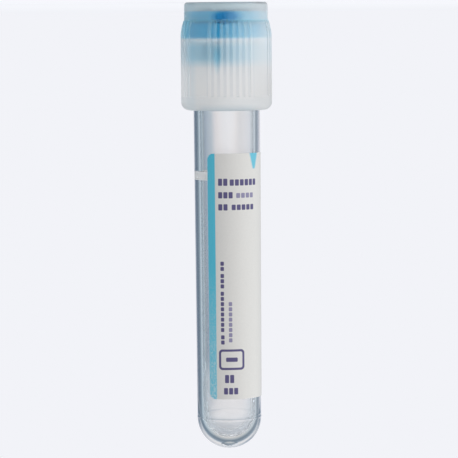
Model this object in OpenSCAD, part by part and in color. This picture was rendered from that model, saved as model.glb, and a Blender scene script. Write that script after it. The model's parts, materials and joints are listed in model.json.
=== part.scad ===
// Blood collection tube, 13 x 75 mm format: an outer tube with a liner, a rubber stopper and a safety
// shield. Each piece is drawn upright, as a profile turned about +Z: the outer tube's gate end is at
// height 0 and the label's front is towards -Y. The whole is then turned over, because a tube with a
// round bottom can't stand on it and rolls on its side: it stands on its head, with the shield's flat
// top on the floor at Z = 0, the axis on Z and the label's front still towards -Y.

/* [Outer tube] */
// Length from the gate end to the rim
tube_len = 75; // [60:0.5:100]
// Outer radius at the rim
tube_rim_r = 6.13; // [6:0.01:6.5]
// Outer radius of the round end
tube_end_r = 5.87; // [5.7:0.01:6]
// Wall at the rim
tube_wall_rim = 0.95; // [0.85:0.05:1.1]
// Wall at the round end
tube_wall_end = 1.0; // [0.9:0.05:1.25]
// Thickness at the gate
tube_floor = 1.75; // [1.4:0.05:2.2]
// Radius of the gate recess
gate_r = 1.6; // [1:0.1:2]
// Depth of the gate recess
gate_depth = 0.4; // [0.2:0.1:0.6]
// How far the mould ring at the equator stands proud
mould_ring = 0.08; // [0.03:0.01:0.15]

/* [Liner tube] */
// Wall of the liner
liner_wall = 0.45; // [0.4:0.05:0.7]
// Thickness of the liner's round end
liner_floor = 1.25; // [0.8:0.05:1.5]
// Gap between the liner and the outer tube's wall
liner_gap = 0.04; // [0.02:0.01:0.06]
// Distance of the liner's rim below the outer tube's rim
liner_below_rim = 0.6; // [0.5:0.1:1.5]

/* [Stopper] */
// Running clearance of the plug in the liner, on the radius
plug_clear = 0.05; // [0.03:0.01:0.08]
// Length of the plug below the rim
plug_len = 4.7; // [4:0.1:7]
// Radius of the head that seats on the rim
head_r = 7.2; // [6.9:0.05:7.2]
// Height of the head
head_h = 3.2; // [2.6:0.05:3.5]
// Radius of the upper flange, under the shield's top plate
flange_r = 6.75; // [6.5:0.05:6.8]
// Height of the upper flange
flange_h = 1.65; // [1.5:0.05:2.5]
// Height of the snap groove between the head and the flange
groove_h = 0.55; // [0.45:0.05:0.8]
// Depth of the snap groove
groove_depth = 0.75; // [0.5:0.05:1]
// Radius of the needle dimple
dimple_r = 2.2; // [1:0.1:3]
// Depth of the needle dimple
dimple_depth = 0.7; // [0.3:0.1:1]
// Radius of the well in the plug's lower end
well_r = 2.6; // [1.5:0.1:3]
// Depth of the well in the plug's lower end
well_depth = 2.8; // [2.2:0.1:3.2]

/* [Shield] */
// Outer radius of the crown
crown_r = 7.65; // [7.6:0.05:7.75]
// Wall of the crown
crown_wall = 0.8; // [0.7:0.05:0.8]
// Thickness of the crown's top plate
crown_plate = 1.65; // [1.4:0.05:2]
// Radius of the crown's round top edge
crown_edge_r = 0.6; // [0.3:0.1:0.8]
// Radius of the needle port in the top plate
port_r = 4.5; // [3.5:0.1:5]
// Outer radius of the skirt
skirt_r = 8.22; // [8.2:0.01:8.3]
// Wall of the skirt
skirt_wall = 0.85; // [0.75:0.05:0.85]
// Height of the shoulder from the skirt to the crown
shoulder_h = 3.2; // [2.5:0.1:4]
// Length of the skirt below the tube's rim
skirt_below_rim = 12.65; // [10:0.05:16]
// Outer radius of the bead at the skirt's lower end
bead_r = 8.35; // [8.34:0.01:8.6]
// Height of the bead
bead_h = 2.45; // [2.4:0.05:3.5]
// Radius of the bead's round lower edge
bead_edge_r = 1.5; // [0.8:0.1:1.5]
// Inner radius of the bead, which steadies the shield on the tube
bead_in_r = 6.5; // [6.4:0.05:6.7]

/* [Grip ribs] */
// Groups of ribs around the shield
rib_groups = 4; // [2:1:4]
// Ribs in each group
ribs_per_group = 8; // [5:1:10]
// Angle from one rib to the next
rib_pitch = 8; // [6:0.1:8.5]
// Angle that one rib takes
rib_angle = 4; // [2:0.1:4.5]
// Angle of the first group's middle from the front, towards the right
ribs_from_front = 6; // [-45:0.5:45]
// How far a rib stands proud
rib_h = 0.12; // [0.06:0.01:0.12]

/* [Label] */
// Height of the label's lower edge above the gate end
label_low = 9.6; // [8:0.1:15]
// Height of the label's upper edge above the gate end
label_high = 54.6; // [40:0.1:58]
// Angle of the label's left edge from the front, towards the right
label_from = -36; // [-60:0.5:0]
// Angle that the label wraps around
label_wrap = 174; // [120:1:300]
// Thickness of the label
label_thick = 0.09; // [0.06:0.01:0.1]
// Radius of the label's corners
label_corner_r = 1.2; // [0.5:0.1:2]

/* [Hidden] */

$fn = 96;
seat_gap = 0.02;
skin_gap = 0.02;
snap_gap = 0.05;

// Radii and heights of the outer tube and its bore. Heights run from the gate end up.
end_mid = sqrt(tube_end_r * tube_end_r - gate_r * gate_r);
bore_end_r = tube_end_r - tube_wall_end;
bore_rim_r = tube_rim_r - tube_wall_rim;
bore_mid = tube_floor + bore_end_r;

// The liner stands on the floor of the bore
liner_top = tube_len - liner_below_rim;
liner_end_r = bore_end_r - liner_gap;
liner_mid = tube_floor + liner_end_r;
liner_rim_r = taper_r(liner_top, bore_end_r, bore_mid, bore_rim_r, tube_len) - liner_gap;
cavity_end_r = liner_end_r - liner_wall;
cavity_mid = tube_floor + liner_floor + cavity_end_r;
cavity_rim_r = liner_rim_r - liner_wall;

// The stopper's head seats on the rim
head_low = tube_len + seat_gap;
groove_low = head_low + head_h;
flange_low = groove_low + groove_h;
stopper_top = flange_low + flange_h;
plug_low = tube_len - plug_len;
plug_lead = 1.1;
plug_r = taper_r(plug_low + plug_lead, cavity_end_r, cavity_mid, cavity_rim_r, liner_top) - plug_clear;

// The shield's top plate lies on the stopper's flange
shield_top = stopper_top + crown_plate;
crown_low = groove_low + 0.5;
shoulder_low = crown_low - shoulder_h;
skirt_low = tube_len - skirt_below_rim;
bead_high = skirt_low + bead_h;
skirt_in_r = skirt_r - skirt_wall;
crown_in_r = crown_r - crown_wall;
snap_r = flange_r - groove_depth + 2 * snap_gap;

// Radius at height h of a taper from r1 at h1 to r2 at h2
function taper_r(h, r1, h1, r2, h2) = r1 + (r2 - r1) * (h - h1) / (h2 - h1);

// Turns the upright tube over, onto its head
module on_its_head() {
    translate([0, 0, shield_top])
        rotate([0, 180, 0])
            children();
}

// Turns what is drawn on +X to an angle from the front, -Y, towards the right
module at_angle(a) {
    rotate([0, 0, a - 90])
        children();
}

// Half profile of a tapered rod with a round lower end
module round_ended(end_r, mid, rim_r, top) {
    intersection() {
        translate([0, mid])
            circle(r = end_r);
        translate([0, mid - end_r])
            square(end_r);
    }
    polygon([[0, mid], [end_r, mid], [rim_r, top], [0, top]]);
}

// Half profile of a disc with round edges
module round_disc(r, low, high, low_edge, high_edge) {
    translate([0, low])
        square([r - max(low_edge, high_edge), high - low]);
    translate([0, low + low_edge])
        square([r, high - low - low_edge - high_edge]);
    translate([r - low_edge, low + low_edge])
        circle(r = low_edge);
    translate([r - high_edge, high - high_edge])
        circle(r = high_edge);
    translate([0, low])
        square([r - low_edge, low_edge]);
    translate([0, high - high_edge])
        square([r - high_edge, high_edge]);
}

module outer_tube() {
    lip_r = tube_wall_rim / 2;
    lip_low = tube_len - lip_r;
    color([0.86, 0.91, 0.94, 0.35])
        on_its_head()
            rotate_extrude() {
                difference() {
                    round_ended(tube_end_r, end_mid, tube_rim_r, tube_len);
                    round_ended(bore_end_r, bore_mid, bore_rim_r, tube_len);
                    translate([0, lip_low])
                        square([tube_rim_r + 1, tube_len]);
                    translate([0, -1])
                        square([gate_r, 1 + gate_depth]);
                }
                translate([tube_rim_r - lip_r, lip_low])
                    circle(r = lip_r);
                translate([tube_end_r - 0.3, end_mid])
                    polygon([[0, -0.1], [0.3 + mould_ring, 0], [0.3 + mould_ring, 0.15], [0, 0.4]]);
            }
}

module inner_tube() {
    color([0.93, 0.95, 0.96, 0.35])
        on_its_head()
            rotate_extrude()
                difference() {
                    round_ended(liner_end_r, liner_mid, liner_rim_r, liner_top);
                    round_ended(cavity_end_r, cavity_mid, cavity_rim_r, liner_top);
                }
}

module stopper() {
    edge = 0.3;
    head_edge = 0.6;
    dimple_ball = (dimple_r * dimple_r + dimple_depth * dimple_depth) / (2 * dimple_depth);
    well_end_r = well_r - 0.4;
    color([0.40, 0.66, 0.80])
        on_its_head()
            rotate_extrude()
                difference() {
                    union() {
                        polygon([[0, plug_low], [plug_r - 0.5, plug_low], [plug_r, plug_low + plug_lead],
                                 [plug_r, head_low + edge], [0, head_low + edge]]);
                        round_disc(head_r, head_low, groove_low, head_edge, head_edge);
                        translate([0, groove_low - edge])
                            square([flange_r - groove_depth, groove_h + 2 * edge]);
                        round_disc(flange_r, flange_low, stopper_top, edge, edge);
                    }
                    intersection() {
                        translate([0, stopper_top - dimple_depth + dimple_ball])
                            circle(r = dimple_ball);
                        translate([0, stopper_top - dimple_ball])
                            square(2 * dimple_ball);
                    }
                    polygon([[0, plug_low - 1], [well_r, plug_low - 1], [well_r, plug_low],
                             [well_end_r, plug_low + well_depth - well_end_r],
                             [0, plug_low + well_depth - well_end_r]]);
                    intersection() {
                        translate([0, plug_low + well_depth - well_end_r])
                            circle(r = well_end_r);
                        translate([0, plug_low])
                            square([well_end_r, well_depth]);
                    }
                }
}

// Half profile of the shoulder and the skirt above the bead, moved out by a distance
module shield_side(out) {
    drop = skirt_r - crown_r;
    shoulder_r = (shoulder_h * shoulder_h + drop * drop) / (2 * drop);
    intersection() {
        translate([skirt_r - shoulder_r, shoulder_low])
            circle(r = shoulder_r + out, $fn = 4 * $fn);
        translate([0, shoulder_low])
            square([skirt_r + out, shoulder_h]);
    }
    translate([0, bead_high - 0.2])
        square([skirt_r + out, shoulder_low - bead_high + 0.2]);
}

module grip_rib() {
    rotate([0, 0, -rib_angle / 2])
        rotate_extrude(angle = rib_angle)
            difference() {
                shield_side(rib_h);
                shield_side(-0.2);
                square([crown_in_r, shield_top]);
            }
}

module shield_shell() {
    port_edge = 0.3;
    inner_edge = 0.3;
    shoulder_in = 1;
    rotate_extrude()
        difference() {
            union() {
                round_disc(crown_r, shoulder_low, shield_top, crown_edge_r, crown_edge_r);
                shield_side(0);
                round_disc(bead_r, skirt_low, bead_high + 0.4, bead_edge_r, 0.4);
            }
            polygon([[0, skirt_low - 1], [bead_in_r + inner_edge, skirt_low - 1],
                     [bead_in_r + inner_edge, skirt_low], [bead_in_r, skirt_low + inner_edge],
                     [bead_in_r, skirt_low + bead_edge_r], [skirt_in_r, bead_high],
                     [skirt_in_r, groove_low - shoulder_in],
                     [crown_in_r + 0.2, groove_low + snap_gap], [0, groove_low + snap_gap]]);
            square([snap_r, flange_low]);
            translate([0, flange_low - snap_gap])
                square([crown_in_r, stopper_top - flange_low + snap_gap]);
            polygon([[0, stopper_top], [port_r, stopper_top], [port_r, shield_top - port_edge],
                     [port_r + port_edge, shield_top], [port_r + port_edge, shield_top + 1],
                     [0, shield_top + 1]]);
        }
}

module shield() {
    color([0.90, 0.92, 0.93, 0.6])
        on_its_head() {
            shield_shell();
            for (g = [0:rib_groups - 1], i = [0:ribs_per_group - 1]) {
                group_middle = ribs_from_front + g * 360 / rib_groups;
                at_angle(group_middle + (i - (ribs_per_group - 1) / 2) * rib_pitch)
                    grip_rib();
            }
        }
}

// What is cut away outside a round corner that opens towards +X and +Y. The arc is a little wide, so
// that it crosses the edges and isn't tangent to them.
module corner_cut(r) {
    difference() {
        translate([-1, -1])
            square(1 + r);
        translate([r, r])
            circle(r = 1.03 * r);
    }
}

module label() {
    low_r = taper_r(label_low, tube_end_r, end_mid, tube_rim_r, tube_len) + skin_gap;
    high_r = taper_r(label_high, tube_end_r, end_mid, tube_rim_r, tube_len) + skin_gap;
    color([0.93, 0.94, 0.95])
        on_its_head()
            difference() {
                rotate([0, 0, label_from - 90])
                    rotate_extrude(angle = label_wrap)
                        polygon([[low_r, label_low], [low_r + label_thick, label_low],
                                 [high_r + label_thick, label_high], [high_r, label_high]]);
                for (last = [0, 1], upper = [0, 1])
                    translate([0, 0, upper == 1 ? label_high : label_low])
                        at_angle(label_from + last * label_wrap)
                            mirror([0, last, 0])
                                mirror([0, 0, upper])
                                    rotate([90, 0, 90])
                                        linear_extrude(2 * tube_rim_r)
                                            corner_cut(label_corner_r);
            }
}

outer_tube();
inner_tube();
stopper();
shield();
label();
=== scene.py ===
"""Looks of the blood collection tube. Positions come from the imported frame: the tube's axis is square to the
crown's flat top, and heights run along it from the gate end, in millimetres, as they do in the CAD part."""

import json
import math
from functools import cached_property

import bpy
from mathutils import Matrix, Vector


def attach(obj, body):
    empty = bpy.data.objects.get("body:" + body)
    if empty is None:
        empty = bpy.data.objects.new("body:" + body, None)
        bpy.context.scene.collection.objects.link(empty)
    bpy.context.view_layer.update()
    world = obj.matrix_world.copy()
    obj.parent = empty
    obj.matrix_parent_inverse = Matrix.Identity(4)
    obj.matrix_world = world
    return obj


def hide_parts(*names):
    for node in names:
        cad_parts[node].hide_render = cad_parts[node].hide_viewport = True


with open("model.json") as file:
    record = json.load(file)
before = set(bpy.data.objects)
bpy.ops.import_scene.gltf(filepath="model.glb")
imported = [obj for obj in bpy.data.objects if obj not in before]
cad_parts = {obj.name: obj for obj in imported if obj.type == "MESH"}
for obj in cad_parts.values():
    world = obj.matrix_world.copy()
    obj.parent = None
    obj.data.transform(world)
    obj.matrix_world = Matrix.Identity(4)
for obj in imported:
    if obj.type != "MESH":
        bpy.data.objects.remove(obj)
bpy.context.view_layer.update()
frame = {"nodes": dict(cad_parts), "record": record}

MM = 0.001
LED_ALONG = 2.5          # light that has been mirrored more often than this is let out of clear walls

# ---------------------------------------------------------------------------------------------------
# The tube's own directions and places, from the frame
# ---------------------------------------------------------------------------------------------------
# The tube stands on its head, and the camera is turned over with it, so that the picture shows it upright:
# ALONG points from the gate end to the closure, FRONT to the camera and RIGHT to the picture's right.
MOUNTS = {m["name"]: m for m in frame["record"]["mounts"]}
RACK_HEIGHT = 35.0       # of the rack_hold mount above the gate end, in mm
ALONG = Vector(MOUNTS["crown_top"]["axis"]).normalized()
FRONT = Vector((0, -1, 0))
RIGHT = ALONG.cross(FRONT)
GATE = Vector(MOUNTS["rack_hold"]["pos_m"]) - ALONG * RACK_HEIGHT * MM


def place(height, angle=0.0, radius=0.0):
    """The point at a height along the axis, an angle from the front towards the right and a radius, in mm."""
    a = math.radians(angle)
    return GATE + (ALONG * height + FRONT * radius * math.cos(a) + RIGHT * radius * math.sin(a)) * MM


# ---------------------------------------------------------------------------------------------------
# Node helpers
# ---------------------------------------------------------------------------------------------------
class Nodes:
    """A material's or the world's node tree, with short calls for the nodes that are used here. A value is a
    number, a colour without its alpha, or another node's output."""

    def __init__(self, owner, output):
        self.owner = owner
        self.owner.use_nodes = True
        self.tree = self.owner.node_tree
        self.tree.nodes.clear()
        self.output = self.tree.nodes.new(output)

    @classmethod
    def of_material(cls, name):
        return cls(bpy.data.materials.new(name), "ShaderNodeOutputMaterial")

    @classmethod
    def of_world(cls, name):
        world = bpy.data.worlds.new(name)
        bpy.context.scene.world = world
        return cls(world, "ShaderNodeOutputWorld")

    def add(self, kind, **settings):
        n = self.tree.nodes.new(kind)
        for key, value in settings.items():
            setattr(n, key, value)
        return n

    def feed(self, socket, value):
        if isinstance(value, bpy.types.NodeSocket):
            self.tree.links.new(value, socket)
        elif socket.type == "RGBA":
            socket.default_value = (*value, 1.0)
        else:
            socket.default_value = value

    def feed_all(self, n, *values):
        """Gives a node's inputs their values in order, and returns its first output."""
        for socket, value in zip(n.inputs, values):
            self.feed(socket, value)
        return n.outputs[0]

    # Sums
    def math(self, operation, a, b=0.0):
        return self.feed_all(self.add("ShaderNodeMath", operation=operation), a, b)

    def plus(self, a, b):
        return self.math("ADD", a, b)

    def minus(self, a, b):
        return self.math("SUBTRACT", a, b)

    def times(self, first, *others):
        for other in others:
            first = self.math("MULTIPLY", first, other)
        return first

    def most(self, first, *others):
        for other in others:
            first = self.math("MAXIMUM", first, other)
        return first

    def length(self, a, b):
        """Length of a line, from how far it goes in two directions that are square to each other."""
        return self.math("SQRT", self.plus(self.times(a, a), self.times(b, b)))

    def dot(self, vector, direction):
        n = self.add("ShaderNodeVectorMath", operation="DOT_PRODUCT")
        self.feed_all(n, vector, direction)
        return n.outputs["Value"]

    def ramp(self, value, from_low, from_high, to_low=0.0, to_high=1.0):
        return self.feed_all(self.add("ShaderNodeMapRange"), value, from_low, from_high, to_low, to_high)

    def band(self, value, low, high, soft):
        """1 where value is between low and high, with edges of a softness."""
        up = self.ramp(value, low - soft / 2, low + soft / 2)
        down = self.ramp(value, high - soft / 2, high + soft / 2, 1.0, 0.0)
        return self.times(up, down)

    # Places on the object
    @cached_property
    def coordinates(self):
        """The piece's own coordinates, in metres in the row frame."""
        return self.add("ShaderNodeTexCoord").outputs["Object"]

    def from_gate(self, direction):
        """Distance from the middle of the gate end in a direction, in mm."""
        out = self.dot(self.coordinates, direction)
        return self.times(self.minus(out, GATE.dot(direction)), 1 / MM)

    @cached_property
    def height(self):
        """Height along the tube's axis, in mm."""
        return self.from_gate(ALONG)

    @cached_property
    def right(self):
        """Distance to the right of the tube's axis, in mm."""
        return self.from_gate(RIGHT)

    @cached_property
    def front(self):
        """Distance in front of the tube's axis, in mm."""
        return self.from_gate(FRONT)

    @cached_property
    def angle(self):
        """Angle from the front towards the right, in degrees."""
        return self.times(self.math("ARCTAN2", self.right, self.front), 180 / math.pi)

    # Kinds of light
    @cached_property
    def path(self):
        return self.add("ShaderNodeLightPath").outputs

    @cached_property
    def gloss_or_through(self):
        """1 for what is seen in gloss or through clear plastic."""
        return self.most(self.path["Is Glossy Ray"], self.path["Is Transmission Ray"])

    # Colours and textures
    def mix(self, factor, a, b):
        n = self.add("ShaderNodeMix", data_type="RGBA")
        for name, value in (("Factor", factor), ("A", a), ("B", b)):
            self.feed(n.inputs[name], value)
        return n.outputs["Result"]

    def stops(self, value, colours):
        """A colour ramp over half a turn, from (degrees, colour as it looks) stops."""
        n = self.add("ShaderNodeValToRGB")
        ramp = n.color_ramp.elements
        ramp.remove(ramp[0])
        for i, (degrees, colour) in enumerate(colours):
            stop = ramp[0] if i == 0 else ramp.new(half_turns(degrees))
            stop.position = half_turns(degrees)
            stop.color = (*srgb(*colour), 1.0)
        return self.feed_all(n, value)

    def noise(self, scale, detail):
        """Noise with features of 1 / scale metres."""
        n = self.add("ShaderNodeTexNoise")
        for name, value in (("Vector", self.coordinates), ("Scale", scale), ("Detail", detail)):
            self.feed(n.inputs[name], value)
        return n.outputs["Fac"]

    def bump(self, height, strength, distance):
        n = self.add("ShaderNodeBump")
        for name, value in (("Height", height), ("Strength", strength), ("Distance", distance)):
            self.feed(n.inputs[name], value)
        return n.outputs[0]

    # Shaders
    def principled(self, **inputs):
        """A Principled shader. An input's name is written with _ for a space."""
        n = self.add("ShaderNodeBsdfPrincipled")
        for key, value in inputs.items():
            self.feed(n.inputs[key.replace("_", " ")], value)
        return n.outputs[0]

    def plain(self, kind, colour, strength=None):
        """A shader with a colour, and a strength if it is one that shines."""
        n = self.add(kind)
        self.feed(n.inputs["Color"], colour)
        if strength is not None:
            self.feed(n.inputs["Strength"], strength)
        return n.outputs[0]

    def blend(self, share, shader, other):
        """A shader that gives a share over to another one."""
        return self.feed_all(self.add("ShaderNodeMixShader"), share, shader, other)

    def lamps_through(self, shader, tint, unseen=0.0):
        """Lets the lamps' light through, tinted, as real clear plastic does, and lets light out that has been
        mirrored three times inside the walls, which would be lost otherwise. unseen is the share of all light
        that passes as if the surface weren't there."""
        led_along = self.math("GREATER_THAN", self.path["Glossy Depth"], LED_ALONG)
        passes = self.most(self.path["Is Shadow Ray"], led_along, unseen)
        return self.blend(passes, shader, self.plain("ShaderNodeBsdfTransparent", tint))

    def done(self, shader):
        self.feed(self.output.inputs["Surface"], shader)
        return self.owner


def srgb(r, g, b):
    """A colour given as it looks, 0 to 255, in Blender's linear values."""
    return tuple(((v / 255 + 0.055) / 1.055) ** 2.4 if v > 10 else v / 255 / 12.92 for v in (r, g, b))


def half_turns(degrees):
    """An angle as a part of half a turn, as the studio's colour ramps take it."""
    return degrees / 180


# ---------------------------------------------------------------------------------------------------
# Meshes of the two clear tubes, turned finely so that light bends smoothly in them. Sizes are in mm, as in
# the CAD part apart from a thinner floor, a lower mould ring and a softer edge to the gate recess.
# ---------------------------------------------------------------------------------------------------
TUBE_LEN, TUBE_RIM_R, TUBE_END_R = 75.0, 6.13, 5.87
RIM_WALL, END_WALL, TUBE_FLOOR = 0.95, 1.0, 1.4
GATE_R, GATE_DEPTH, MOULD_RING = 1.6, 0.4, 0.05
LINER_GAP, LINER_WALL, LINER_FLOOR, LINER_BELOW_RIM = 0.04, 0.45, 1.25, 0.6

END_MID = math.sqrt(TUBE_END_R ** 2 - GATE_R ** 2)
BORE_END_R, BORE_RIM_R = TUBE_END_R - END_WALL, TUBE_RIM_R - RIM_WALL
BORE_MID = TUBE_FLOOR + BORE_END_R

AROUND = 320                                     # steps round the axis
END_STEPS, BORE_STEPS, LIP_STEPS = 40, 48, 20    # steps of the round end, the bore's end and the rim
WALL_HEIGHTS, NEAR_RIM = (10.0, 20.0, 40.0, 60.0), 70.0
GATE_SHARES = (0.0, 0.15, 0.3, 0.45, 0.6, 0.75, 0.9)    # of the recess's radius
BELOW_RING = -1.5                                # angle at which the round end meets the mould ring
RING_PROFILE = ((0.6, 0.0), (1.0, 0.08), (0.6, 0.18), (0.0, 0.3))    # share of MOULD_RING, mm from END_MID
TUBE_CREASE, LABEL_CREASE = 25.0, 35.0           # edges that turn by more degrees are sharp
ON_AXIS = 1e-6


def taper(height, r1, h1, r2, h2):
    """A radius that changes evenly from r1 at height h1 to r2 at height h2."""
    return r1 + (r2 - r1) * (height - h1) / (h2 - h1)


def wall_radius(height):
    """The outer tube's outer radius."""
    return taper(height, TUBE_END_R, END_MID, TUBE_RIM_R, TUBE_LEN)


def bore_radius(height):
    """The outer tube's inner radius."""
    return taper(height, BORE_END_R, BORE_MID, BORE_RIM_R, TUBE_LEN)


def arc(centre, radius, start, end, steps):
    """Points (radius, height) on a circle round a (radius, height) point, between two angles in degrees. 0 is
    straight out and 90 is towards the closure."""
    r0, h0 = centre
    angles = [math.radians(start + (end - start) * i / steps) for i in range(steps + 1)]
    return [(r0 + radius * math.cos(a), h0 + radius * math.sin(a)) for a in angles]


def solid(name, points, faces, body, crease):
    """A smooth piece that rides on a body."""
    mesh = bpy.data.meshes.new(name)
    mesh.from_pydata(points, [], faces)
    mesh.shade_smooth()
    mesh.set_sharp_from_angle(angle=math.radians(crease))
    piece = bpy.data.objects.new(name, mesh)
    bpy.context.scene.collection.objects.link(piece)
    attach(piece, body)
    return piece


def turned(name, outline, body):
    """A solid of revolution from an outline of (radius, height) points, from the axis back to the axis."""
    points, rings = [], []
    for r, h in outline:
        if r < ON_AXIS:
            rings.append([len(points)] * AROUND)
            points.append(place(h))
        else:
            rings.append(list(range(len(points), len(points) + AROUND)))
            points += [place(h, 360.0 * i / AROUND, r) for i in range(AROUND)]
    faces = []
    for low, high in zip(rings, rings[1:]):
        for i in range(AROUND):
            j = (i + 1) % AROUND
            corners = (low[i], low[j], high[j], high[i])
            faces.append(list(dict.fromkeys(corners)))      # a triangle where a ring is one point on the axis
    return solid(name, points, faces, body, TUBE_CREASE)


def outer_tube_outline():
    """Up the outside from the gate recess, over the rim and down the bore."""
    lip = RIM_WALL / 2
    gate_angle = math.degrees(math.acos(GATE_R / TUBE_END_R))
    heights = (*WALL_HEIGHTS, NEAR_RIM)
    outline = [(GATE_R * k, GATE_DEPTH * (1 - k * k) ** 2) for k in GATE_SHARES]
    outline += arc((0.0, END_MID), TUBE_END_R, -gate_angle, BELOW_RING, END_STEPS)
    outline += [(TUBE_END_R + MOULD_RING * k, END_MID + h) for k, h in RING_PROFILE]
    outline += [(wall_radius(h), h) for h in heights]
    outline += arc((TUBE_RIM_R - lip, TUBE_LEN - lip), lip, 0.0, 180.0, LIP_STEPS)
    outline += [(bore_radius(h), h) for h in reversed(heights)]
    return outline + arc((0.0, BORE_MID), BORE_END_R, 0.0, -90.0, BORE_STEPS)


def inner_tube_outline():
    """Up the outside from the bore's floor and down the inside."""
    top = TUBE_LEN - LINER_BELOW_RIM
    end_r, rim_r = BORE_END_R - LINER_GAP, bore_radius(top) - LINER_GAP
    mid = TUBE_FLOOR + end_r
    cavity_r, cavity_rim_r = end_r - LINER_WALL, rim_r - LINER_WALL
    cavity_mid = TUBE_FLOOR + LINER_FLOOR + cavity_r
    heights = (*WALL_HEIGHTS, top)
    outline = arc((0.0, mid), end_r, -90.0, 0.0, BORE_STEPS)
    outline += [(taper(h, end_r, mid, rim_r, top), h) for h in heights]
    outline += [(taper(h, cavity_r, cavity_mid, cavity_rim_r, top), h) for h in reversed(heights)]
    return outline + arc((0.0, cavity_mid), cavity_r, 0.0, -90.0, BORE_STEPS)


# ---------------------------------------------------------------------------------------------------
# Mesh of the label: its lower and upper edge in mm, its left and right edge in degrees from the front, and
# its sheet. LABEL_R is the radius at which angles are turned into lengths.
# ---------------------------------------------------------------------------------------------------
LABEL_LOW, LABEL_TOP, LABEL_FROM, LABEL_TO = 9.6, 54.6, -36.0, 94.0
LABEL_THICK, LABEL_GAP, LABEL_CORNER = 0.09, 0.02, 1.2
LABEL_R = 6.1
CORNER_COLUMNS, MIDDLE_COLUMNS, LABEL_ROWS = 6, 60, 9      # of points


def wrapped_label(name, body):
    """A thin sheet with rounded corners, wrapped part of the way round the tube. Its columns run up it, and
    come closer together in the corners, where a cut at both ends makes them shorter."""
    corner = math.degrees(LABEL_CORNER / LABEL_R)
    between = LABEL_TO - LABEL_FROM - 2 * corner
    turns = [math.radians(90.0 * i / CORNER_COLUMNS) for i in range(CORNER_COLUMNS)]
    corners = [corner * (1 - math.cos(turn)) for turn in turns]
    angles = [LABEL_FROM + c for c in corners]
    angles += [LABEL_FROM + corner + between * i / MIDDLE_COLUMNS for i in range(MIDDLE_COLUMNS + 1)]
    angles += [LABEL_TO - c for c in reversed(corners)]
    points, faces, rows = [], [], LABEL_ROWS
    for angle in angles:
        inside = min(angle - LABEL_FROM, LABEL_TO - angle, corner)
        cut = LABEL_CORNER - math.sqrt(LABEL_CORNER ** 2 - (LABEL_CORNER * (1 - inside / corner)) ** 2)
        for thick in (0.0, LABEL_THICK):
            for row in range(rows):
                h = LABEL_LOW + cut + (LABEL_TOP - LABEL_LOW - 2 * cut) * row / (rows - 1)
                points.append(place(h, angle, wall_radius(h) + LABEL_GAP + thick))
    loop = list(range(rows)) + [rows + row for row in reversed(range(rows))]
    for column in range(len(angles) - 1):
        low, high = column * 2 * rows, (column + 1) * 2 * rows
        for a, b in zip(loop, loop[1:] + loop[:1]):
            faces.append((low + a, low + b, high + b, high + a))
    last = (len(angles) - 1) * 2 * rows        # the first and the last column close the sheet's two edges
    faces.append(loop[::-1])
    faces.append([last + a for a in loop])
    return solid(name, points, faces, body, LABEL_CREASE)


# ---------------------------------------------------------------------------------------------------
# Materials of the clear tubes
# ---------------------------------------------------------------------------------------------------
CLEAR = (0.99, 0.99, 0.99)
TUBE_TINT, LINER_TINT = (0.94, 0.95, 0.96), (0.975, 0.98, 0.985)      # of light that passes straight through
TUBE_IOR, LINER_IOR = 1.57, 1.12       # the liner's is low, so that it has no strong lines of its own
FILL_BAND = (49.65, 51.2)              # heights of the frosted band
WETTED_END = (10.0, 16.0)              # heights over which the liner comes into sight


def clear_tube_material():
    m = Nodes.of_material("clear_tube")
    frosted = m.band(m.height, *FILL_BAND, 0.1)
    shader = m.principled(
        Base_Color=CLEAR, IOR=TUBE_IOR, Roughness=m.ramp(frosted, 0.0, 1.0, 0.015, 0.5),
        Transmission_Weight=m.ramp(frosted, 0.0, 1.0, 1.0, 0.45),
        Normal=m.bump(m.noise(250, 1.0), 0.012, 0.0001))
    return m.done(m.lamps_through(shader, TUBE_TINT))


def clear_liner_material():
    m = Nodes.of_material("clear_liner")
    shader = m.principled(
        Base_Color=CLEAR, IOR=LINER_IOR, Roughness=0.04, Transmission_Weight=0.97,
        Normal=m.bump(m.noise(300, 1.0), 0.02, 0.0001))
    unseen = m.ramp(m.height, *WETTED_END, 0.7, 0.0)
    return m.done(m.lamps_through(shader, LINER_TINT, unseen))


# ---------------------------------------------------------------------------------------------------
# Materials of the closure
# ---------------------------------------------------------------------------------------------------
RIBS_MIDDLE, RIB_PITCH, RIBS = 6.0, 8.0, 8     # a group's middle and the pitch in degrees, ribs in a group
HALF_QUARTER = 45.0                            # the four groups are a quarter of a turn apart
RIB_HEIGHTS = (64.9, 78.4)

# Pairs of heights between which the shield's looks change
AIR_TO_PLUG, PLUG_TO_HEAD = (69.0, 72.3), (74.9, 76.0)
HEAD_TO_FLANGE, FLANGE_TO_PLATE = (78.6, 79.0), (80.6, 81.2)
TUBE_RIM, SHOULDER = (74.95, 75.45), (78.4, 78.9)
RIBS_LOW, RIBS_HIGH = (68.5, 71.5), (75.0, 76.0)
LIP_FADES, BEAD_FADES, MILK_COOLS = (63.7, 62.3), (64.4, 65.2), (66.0, 72.0)

# The shield's colours: its milk, with painted warm light and painted shade in places, and the rubber's blue
# painted into it as painted light
MILK, WARM_PAINTED_LIGHT, BEAD_MILK = (0.985, 0.985, 0.985), (0.985, 0.965, 0.95), (0.94, 0.94, 0.935)
LEFT_EDGE_PAINTED_SHADE, RIGHT_PAINTED_SHADE, LIP_PAINTED_SHADE = (0.83, 0.88, 0.91), (0.68, 0.68, 0.69), (0.56, 0.65, 0.72)
GROOVE_SHADE_LOW, GROOVE_SHADE_HIGH = (0.88, 0.88, 0.885), (0.82, 0.845, 0.87)
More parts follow.
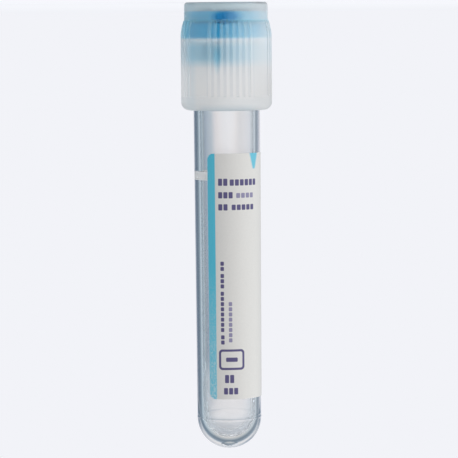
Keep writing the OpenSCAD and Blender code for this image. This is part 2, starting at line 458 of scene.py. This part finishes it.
# The rubber's blue, painted into the shield's milk as painted light from the rubber behind it
PAINTED_BLUE_LOW, PAINTED_BLUE_HIGH, PAINTED_BLUE_CHANGES = (0.36, 0.74, 0.91), (0.35, 0.80, 0.94), (74.0, 75.5)
HAZE, SHIELD_TINT = (0.98, 0.98, 0.975), (0.95, 0.955, 0.96)
# The rubber's colours; the last is painted shade, a darker blue where the flange presses on the crown
RUBBER_DARK, RUBBER_LIGHT, RUBBER_PAINTED_SHADE = srgb(14, 178, 220), srgb(32, 190, 228), srgb(6, 148, 202)


def ellipse(m, angle, height, half_angle, half_height):
    """Distance from a place on the closure, 1 at a half width and a half height from it."""
    across = m.math("DIVIDE", m.minus(m.angle, angle), half_angle)
    up = m.math("DIVIDE", m.minus(m.height, height), half_height)
    return m.length(across, up)


def contact_spot(m):
    """1 where the stopper's flange presses on the crown in front."""
    spot = ellipse(m, angle=1.0, height=79.4, half_angle=23.0, half_height=1.35)
    return m.ramp(spot, 0.55, 1.2, 1.0, 0.0)


def wet_streak(m):
    """1 in a streak in front, where a film between the stopper and the shield clears the frosting."""
    streak = ellipse(m, angle=-11.5, height=74.6, half_angle=6.5, half_height=5.4)
    return m.ramp(streak, 0.5, 1.1, 1.0, 0.0)


def rubber_material():
    m = Nodes.of_material("rubber_stopper")
    colour = m.mix(m.noise(900, 4.0), RUBBER_DARK, RUBBER_LIGHT)
    # Painted shade: a darker blue in the spot where the flange presses on the crown in front
    colour = m.mix(contact_spot(m), colour, RUBBER_PAINTED_SHADE)
    shader = m.principled(
        Base_Color=colour, Roughness=0.5, Specular_IOR_Level=0.2,
        Normal=m.bump(m.noise(4000, 3.0), 0.15, 0.00005))
    return m.done(shader)


def rib_marks(m):
    """1 on the shield's grip ribs and 1 in the grooves between them, each as a value of its own."""
    turn = m.math("PINGPONG", m.minus(m.angle, RIBS_MIDDLE), HALF_QUARTER)
    crest = m.math("ABSOLUTE", m.minus(m.math("MODULO", turn, RIB_PITCH), RIB_PITCH / 2))
    on_rib = m.ramp(crest, 1.6, 2.4, 1.0, 0.0)
    group_end = RIB_PITCH * RIBS / 2
    in_group = m.ramp(turn, group_end - 0.5, group_end + 0.5, 1.0, 0.0)
    in_group = m.times(in_group, m.band(m.height, *RIB_HEIGHTS, 0.6))
    return m.times(on_rib, in_group), m.times(m.minus(1.0, on_rib), in_group)


def shoulder(m):
    """1 where the skirt turns in to the crown."""
    return m.band(m.height, *SHOULDER, 0.3)


def shield_clearness(m, ribs):
    """How clear the shield is: clearest where the stopper's head lies close behind it, less so over the plug,
    and cloudy over the air round the tube and in the solid top plate. Towards the right it is cloudier, as it
    lies less close there."""
    height, x = m.height, m.right
    close = m.ramp(x, -0.7, 7.6, 1.0, 0.58)
    clear = m.ramp(height, *AIR_TO_PLUG, m.ramp(x, 0.0, 7.0, 0.2, 0.5), m.times(close, close, 0.66))
    clear = m.ramp(height, *PLUG_TO_HEAD, clear, m.times(close, 0.89))
    # Painted highlight: the ribs are made cloudier, and so lighter; more so above 71.5 mm, less above 76 mm
    # and less on the left, where shade falls
    painted_rib_highlight = m.times(
        m.ramp(height, *RIBS_LOW, 0.12, 0.26), m.ramp(x, -6.5, -5.0, 0.3, 1.0),
        m.ramp(height, *RIBS_HIGH, 1.0, 0.55))
    for where, change in (
            (m.ramp(height, *HEAD_TO_FLANGE), -0.08),
            (contact_spot(m), 0.2),
            (wet_streak(m), 0.1),
            (m.times(ribs, painted_rib_highlight), -1.0),
            # Painted highlight: a thin cloudier band at the tube's rim shows as a light line
            (m.band(height, *TUBE_RIM, 0.25), -0.3),
            # Painted light over a line of shade: the shoulder is made cloudier
            (shoulder(m), -0.2)):
        clear = m.plus(clear, m.times(where, change))
    clear = m.ramp(height, *FLANGE_TO_PLATE, clear, 0.35)
    return m.math("MINIMUM", clear, 1.0)


def painted_rubber_blue(m):
    """How much of the rubber's blue is painted into the shield's milk, as painted light from the rubber behind
    it:
    most over the stopper's head and plug, in the streak, along the head's left edge and at the shoulder, and
    less towards the right."""
    height, x = m.height, m.right
    over_plug = m.times(
        m.band(height, 71.0, 74.7, 1.6), m.ramp(x, -7.6, -6.2, 0.3, 1.0), m.ramp(x, -3.5, -1.0, 0.66, 0.48))
    in_streak = m.times(wet_streak(m), m.ramp(height, 74.6, 72.5), 0.6)
    over_head = m.times(m.band(height, 75.5, 80.5, 0.5), 0.6)
    in_plate = m.ramp(height, 80.2, 80.8, 0.0, 0.3)
    blue = m.most(m.plus(over_plug, in_streak), over_head, in_plate)
    blue = m.times(blue, m.ramp(x, 1.0, 6.5, 1.0, 0.3))
    left_edge = m.times(m.band(height, 75.5, 78.6, 0.5), m.band(x, -7.85, -6.7, 0.4))
    blue = m.plus(blue, m.times(left_edge, 0.38))
    # Painted light over a line of shade: the shoulder is made bluer
    return m.math("MINIMUM", m.plus(blue, m.times(shoulder(m), 0.3)), 1.0)


def milk_and_painted_shade(m, grooves):
    """The milkiness's colour: a little warmer low down, as painted warm light, and darker on the bead; painted
    shade along the left edge, in the grooves, on the lip, where the tube's shadow shows through, and towards
    the right, where the key lamp lights it most."""
    height, x = m.height, m.right
    # Painted warm light: the milk is warmer low on the skirt
    milk = m.mix(m.ramp(height, *MILK_COOLS, 1.0, 0.0), MILK, WARM_PAINTED_LIGHT)
    milk = m.mix(m.ramp(height, *BEAD_FADES, 1.0, 0.0), milk, BEAD_MILK)
    # Painted shade along the left edge
    milk = m.mix(m.times(m.band(x, -7.4, -5.7, 0.8), 0.8), milk, LEFT_EDGE_PAINTED_SHADE)
    # Painted shade in the grooves between the ribs
    milk = m.mix(grooves, milk, m.mix(m.ramp(height, *RIBS_LOW), GROOVE_SHADE_LOW, GROOVE_SHADE_HIGH))
    # Painted shade on the lip, where the tube's shadow shows through the bead
    lip = m.times(m.ramp(height, *LIP_FADES), m.ramp(m.math("ABSOLUTE", x), 4.0, 7.0, 1.0, 0.0))
    milk = m.mix(lip, milk, LIP_PAINTED_SHADE)
    # Painted shade towards the right, where the key lamp lights the shield most
    return m.mix(m.ramp(x, 0.0, 6.0, 0.0, 0.55), milk, m.mix(0.5, milk, RIGHT_PAINTED_SHADE))


def frosted_shield_material():
    m = Nodes.of_material("frosted_shield")
    ribs, grooves = rib_marks(m)
    clear = shield_clearness(m, ribs)
    # Painted light: the rubber's blue, painted into the milk where the rubber lies behind
    blue = m.mix(m.ramp(m.height, *PAINTED_BLUE_CHANGES), PAINTED_BLUE_LOW, PAINTED_BLUE_HIGH)
    shader = m.principled(
        Base_Color=m.mix(painted_rubber_blue(m), milk_and_painted_shade(m, grooves), blue), Roughness=0.3, IOR=1.3,
        Transmission_Weight=clear, Normal=m.bump(m.noise(2500, 3.0), 0.1, 0.00005))
    haze = m.plain("ShaderNodeBsdfTranslucent", HAZE)
    shader = m.blend(m.times(m.minus(1.0, clear), 0.35), shader, haze)
    return m.done(m.lamps_through(shader, SHIELD_TINT))


# ---------------------------------------------------------------------------------------------------
# Material of the label
# ---------------------------------------------------------------------------------------------------
INK, SOFT_INK = srgb(84, 78, 122), srgb(140, 136, 166)
PRINT_BLUE, WORN_BLUE = srgb(73, 188, 214), srgb(196, 224, 232)
# The last is the unprinted side against the tube, painted brighter than the paper as painted light shining
# through it
PAPER_DARK, PAPER_LIGHT, BARE_PAPER_PAINTED_LIGHT = srgb(216, 214, 210), srgb(224, 222, 218), srgb(250, 250, 248)

# The label's print: rows of plain blocks in place of words. Rows across the label are (from angle, blocks,
# from height, to height), rows along it (from height, blocks, from angle, to angle).
BLOCK, BLOCK_GAP, BLOCK_CORNER = 0.95, 0.2, 0.15
BLOCKS_BEFORE = 100
BOLD_ACROSS = [
    (-17.0, 2, 48.75, 50.05), (3.0, 6, 48.75, 49.9), (-17.0, 3, 46.45, 47.6), (-17.0, 2, 44.25, 45.4),
    (6.0, 5, 44.3, 45.3), (-8.0, 2, 12.6, 14.1), (-10.0, 3, 10.5, 11.7)]
SOFT_ACROSS = [(14.0, 4, 46.5, 47.4)]
BOLD_ALONG = [(19.6, 2, -13.4, -7.2), (21.9, 8, -13.4, -7.6), (29.9, 3, -13.4, -7.2), (33.1, 2, -13.4, -7.2)]
SOFT_ALONG = [(20.0, 8, 0.4, 6.4)]

# The frame with a dash in it: its angles, its heights and the width of its line
FRAME_ANGLES, FRAME_HEIGHTS, FRAME_LINE = (-17.5, 28.0), (15.0, 18.8), 0.42
DASH_ANGLES, DASH_HEIGHTS = (-5.0, 15.5), (16.5, 17.3)
OUTER_CORNER, INNER_CORNER, DASH_CORNER = 0.7, 0.35, 0.2

# The blue stripe's right edge, and the arrow that points down from the label's upper edge: its middle and its
# half widths at the tip and at the edge, in degrees, and its tip's height
STRIPE_EDGE = (-22.1, -21.5)
ARROW_MIDDLE, ARROW_HALVES, ARROW_TIP = 51.6, (2.2, 9.8), 51.65
ARROW_SIDES, ARROW_STARTS = (-1.4, 2.0), (51.6, 51.9)      # degrees and heights over which its edges fade
WORN_HEIGHTS = (11.0, 34.0)
PRINT_EDGE = 0.04        # softness of the print's edges, in mm


def to_u(degrees):
    """Distance round the label, in mm, of an angle."""
    return math.radians(degrees) * LABEL_R


def distance(m, value, middle):
    """How far a value lies from a middle, to either side."""
    return m.math("ABSOLUTE", m.minus(value, middle))


def outside(m, value, bounds, margin):
    """How far a value lies outside bounds that are drawn in by a margin, and 0 inside them."""
    low, high = bounds
    return m.most(m.minus(distance(m, value, (low + high) / 2), (high - low) / 2 - margin), 0.0)


def box(m, u, v, u_bounds, v_bounds, corner, inset=0.0):
    """1 inside a rectangle with rounded corners."""
    out = m.length(outside(m, u, u_bounds, corner + inset), outside(m, v, v_bounds, corner + inset))
    return m.ramp(out, corner - PRINT_EDGE, corner + PRINT_EDGE, 1.0, 0.0)


def blocks(m, along, across, start, count, low, high):
    """A row of equal rounded blocks, which starts at a place and runs up. Its cells are counted from a place
    well before it, because the remainder of a negative number would turn them round."""
    cell = m.math("MODULO", m.minus(along, start - BLOCKS_BEFORE * BLOCK), BLOCK)
    row = box(m, cell, across, (BLOCK_GAP / 2, BLOCK - BLOCK_GAP / 2), (low, high), BLOCK_CORNER)
    return m.times(row, m.band(along, start, start + count * BLOCK, 0.02))


def printed(m, u, v, rows_across, rows_along):
    """1 on all blocks of some rows."""
    rows = [blocks(m, u, v, to_u(start), n, low, high) for start, n, low, high in rows_across]
    rows += [blocks(m, v, u, start, n, to_u(low), to_u(high)) for start, n, low, high in rows_along]
    return m.most(*rows)


def framed_dash(m, u, v):
    """1 on the frame and on the dash in it."""
    frame_u = [to_u(a) for a in FRAME_ANGLES]
    outer = box(m, u, v, frame_u, FRAME_HEIGHTS, OUTER_CORNER)
    inner = box(m, u, v, frame_u, FRAME_HEIGHTS, INNER_CORNER, FRAME_LINE)
    dash = box(m, u, v, [to_u(a) for a in DASH_ANGLES], DASH_HEIGHTS, DASH_CORNER)
    return m.most(m.minus(outer, inner), dash)


def stripe_and_arrow(m):
    """1 on the blue stripe and a little less on the blue arrow."""
    stripe = m.ramp(m.angle, *STRIPE_EDGE, 1.0, 0.0)
    half = m.ramp(m.height, ARROW_TIP, LABEL_TOP, *ARROW_HALVES)
    side = m.minus(distance(m, m.angle, ARROW_MIDDLE), half)
    arrow = m.times(m.ramp(side, *ARROW_SIDES, 0.9, 0.0), m.ramp(m.height, *ARROW_STARTS))
    return m.most(stripe, arrow)


def print_blue(m):
    """The stripe's and the arrow's blue, worn in specks, and more so towards the label's lower end."""
    speck = m.ramp(m.noise(3800, 3.0), 0.46, 0.62, 0.3, 1.0)
    worn = m.ramp(m.height, *WORN_HEIGHTS, 0.85, 0.04)
    return m.mix(m.times(speck, worn), PRINT_BLUE, WORN_BLUE)


def outer_side(m):
    """1 on the label's printed outer side, 0 on the side that sticks to the tube."""
    wall = m.ramp(m.height, END_MID, TUBE_LEN, TUBE_END_R, TUBE_RIM_R)
    return m.ramp(m.minus(m.length(m.right, m.front), wall), 0.05, 0.08)


def label_material():
    m = Nodes.of_material("label_paper")
    u, v = m.times(m.angle, to_u(1.0)), m.height
    fibre = m.noise(3000, 4.0)
    colour = m.mix(fibre, PAPER_DARK, PAPER_LIGHT)
    colour = m.mix(stripe_and_arrow(m), colour, print_blue(m))
    bold = printed(m, u, v, BOLD_ACROSS, BOLD_ALONG)
    colour = m.mix(m.most(bold, framed_dash(m, u, v)), colour, INK)
    colour = m.mix(printed(m, u, v, SOFT_ACROSS, SOFT_ALONG), colour, SOFT_INK)
    # The side against the tube is bare paper, painted brighter as painted light that shines through the paper
    colour = m.mix(outer_side(m), BARE_PAPER_PAINTED_LIGHT, colour)
    shader = m.principled(
        Base_Color=colour, Roughness=0.42, Coat_Weight=0.1, Coat_Roughness=0.3,
        Normal=m.bump(fibre, 0.06, 0.00003))
    return m.done(shader)


# ---------------------------------------------------------------------------------------------------
# The pieces
# ---------------------------------------------------------------------------------------------------
def dress(node, material):
    """Gives a CAD node its material."""
    mesh = frame["nodes"][node].data
    mesh.materials.clear()
    mesh.materials.append(material)


tube_glass = turned("outer_tube_clear", outer_tube_outline(), "tube")
tube_glass.data.materials.append(clear_tube_material())
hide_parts("outer_tube")
liner_glass = turned("inner_tube_clear", inner_tube_outline(), "tube")
liner_glass.data.materials.append(clear_liner_material())
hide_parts("inner_tube")
liner_glass.visible_shadow = False      # so clear that it casts none
dress("stopper", rubber_material())
dress("shield", frosted_shield_material())
label = wrapped_label("label_wrapped", "tube")
label.data.materials.append(label_material())
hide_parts("label")


# ---------------------------------------------------------------------------------------------------
# Floor, light and camera
# ---------------------------------------------------------------------------------------------------
BACKDROP, FLOOR, SCATTERED_LIGHT = srgb(242, 243, 248), srgb(225, 226, 230), srgb(228, 228, 229)
FLOOR_SIZE = 6.0         # metres


def floor_material():
    """A floor that takes a shadow, and partly glows where it is seen."""
    m = Nodes.of_material("floor")
    seen = m.most(m.path["Is Camera Ray"], m.gloss_or_through)
    diffuse = m.plain("ShaderNodeBsdfDiffuse", FLOOR)
    glow = m.plain("ShaderNodeEmission", BACKDROP, 1.25)
    return m.done(m.blend(m.times(seen, 0.6), diffuse, glow))


def make_floor():
    bpy.ops.mesh.primitive_plane_add(size=FLOOR_SIZE, location=(0, 0, 0))
    floor = bpy.context.object
    floor.name = "floor"
    floor.data.materials.append(floor_material())


# The studio's light by the angle from straight back, towards the picture's left, its right, up and down
STRAIGHT_BACK = [(0, (238, 235, 237))]
TO_THE_FRONT = [(90, (230, 230, 229)), (115, (209, 209, 209)), (180, (214, 214, 214))]
STUDIO_LEFT = STRAIGHT_BACK + [
    (4, (234, 230, 233)), (5.5, (214, 215, 222)), (7, (184, 196, 208)), (12, (143, 160, 180)),
    (17, (116, 132, 156)), (24, (106, 120, 136)), (32, (92, 107, 122)), (37, (78, 95, 112)),
    (42, (114, 131, 146)), (47, (148, 166, 180)), (52, (188, 204, 214)), (62, (176, 193, 203)),
    (72, (202, 226, 236)), (85, (236, 250, 252)), (100, (216, 227, 231)), (115, (174, 175, 176)),
    (180, (178, 178, 178))]
STUDIO_RIGHT = STRAIGHT_BACK + [
    (3.5, (236, 232, 234)), (4.8, (220, 220, 224)), (12, (222, 221, 227)), (18, (219, 221, 230)),
    (23, (196, 201, 212)), (28, (172, 183, 196)), (33, (144, 155, 168)), (38, (114, 125, 140)),
    (43, (140, 150, 160)), (48, (148, 160, 170)), (53, (196, 207, 216)), (62, (194, 205, 214)),
    (72, (240, 248, 250)), (82, (246, 250, 251)), (95, (214, 230, 235)), (115, (232, 232, 232)),
    (180, (235, 235, 234))]
STUDIO_UP = STRAIGHT_BACK + [
    (8, (205, 207, 212)), (14, (140, 152, 168)), (30, (112, 127, 142)), (39, (108, 122, 136)),
    (46, (160, 168, 172)), (56, (205, 204, 201))] + TO_THE_FRONT
STUDIO_DOWN = STRAIGHT_BACK + [
    (8, (236, 233, 234)), (18, (234, 233, 235)), (23, (222, 224, 228)), (27, (172, 183, 195)),
    (31, (128, 144, 160)), (46, (100, 118, 134)), (55, (160, 170, 178)),
    (66, (208, 208, 207))] + TO_THE_FRONT


def make_world():
    """The studio: a pale backdrop straight behind the tube, wider to the picture's right and down, a darker
    gap round it, and soft light from the sides and the front, stronger from the right. The camera sees the
    plain pale backdrop all round, and what it sees in gloss and through clear plastic shows the backdrop
    where that is. The light that matt surfaces scatter comes from a studio with hardly any gap."""
    m = Nodes.of_world("studio")
    way = m.add("ShaderNodeTexCoord").outputs["Generated"]
    right, up = m.dot(way, RIGHT), m.dot(way, ALONG)
    off = m.times(m.math("ARCCOSINE", m.dot(way, -FRONT)), 1 / math.pi)      # half turns from straight back
    flat = m.most(m.length(right, up), 0.001)
    side, lift = m.math("DIVIDE", right, flat), m.math("DIVIDE", up, flat)
    colour = m.mix(m.ramp(lift, -0.2, 0.2), m.stops(off, STUDIO_DOWN), m.stops(off, STUDIO_UP))
    colour = m.mix(m.ramp(side, 0.35, 0.9), colour, m.stops(off, STUDIO_RIGHT))
    colour = m.mix(m.ramp(side, -0.35, -0.9), colour, m.stops(off, STUDIO_LEFT))
    sharp = m.times(m.gloss_or_through, m.math("LESS_THAN", m.path["Diffuse Depth"], 0.5))
    scattered = m.minus(1.0, sharp)
    behind = m.ramp(off, half_turns(60), half_turns(90), 0.9, 0.0)
    colour = m.mix(m.times(scattered, behind), colour, SCATTERED_LIGHT)
    shown = m.times(m.gloss_or_through, m.ramp(off, half_turns(2), half_turns(4), 1.0, 0.0))
    colour = m.mix(m.most(m.path["Is Camera Ray"], shown), colour, BACKDROP)
    m.done(m.plain("ShaderNodeBackground", colour, 1.0))


def make_key_lamp():
    """A soft lamp to the front right, well above the floor, that faces the middle of the tube. It doesn't
    mirror in the clear walls."""
    size, power = 0.9, 4.4
    level, to_right, to_front, raised = 50.0, 0.8, 0.45, 0.45      # mm along the tube, then metres from there
    faced = 40.0                                                   # mm along the tube
    data = bpy.data.lights.new("key", "AREA")
    data.shape = "SQUARE"
    data.size = size
    data.energy = power
    lamp = bpy.data.objects.new("key", data)
    bpy.context.scene.collection.objects.link(lamp)
    lamp.location = place(level) + RIGHT * to_right + FRONT * to_front + Vector((0, 0, raised))
    lamp.visible_glossy = lamp.visible_transmission = False
    aim = place(faced) - lamp.location
    lamp.rotation_euler = aim.to_track_quat("-Z", "Y").to_euler()


def make_camera():
    """The camera is a little above the floor, level with the crown, and looks at the tube's middle."""
    distance_out, level, middle, aside = 511.0, 80.0, 40.4, 0.22      # mm
    roll = 0.5                                                        # degrees
    data = bpy.data.cameras.new("camera")
    data.sensor_width, data.lens = 36.0, 218.7
    data.clip_start, data.clip_end = 0.01, 20.0
    camera = bpy.data.objects.new("camera", data)
    bpy.context.scene.collection.objects.link(camera)
    spot = place(level) + FRONT * distance_out * MM + RIGHT * aside * MM
    target = place(middle) + RIGHT * aside * MM
    back = (spot - target).normalized()
    up = (ALONG - back * ALONG.dot(back)).normalized()
    turn = Matrix((up.cross(back), up, back)).transposed().to_4x4()
    rolled = Matrix.Rotation(math.radians(-roll), 4, "Z")
    camera.matrix_world = Matrix.Translation(spot) @ turn @ rolled
    bpy.context.scene.camera = camera


make_floor()
make_world()
make_key_lamp()
make_camera()
bpy.context.scene.view_settings.view_transform = "Standard"
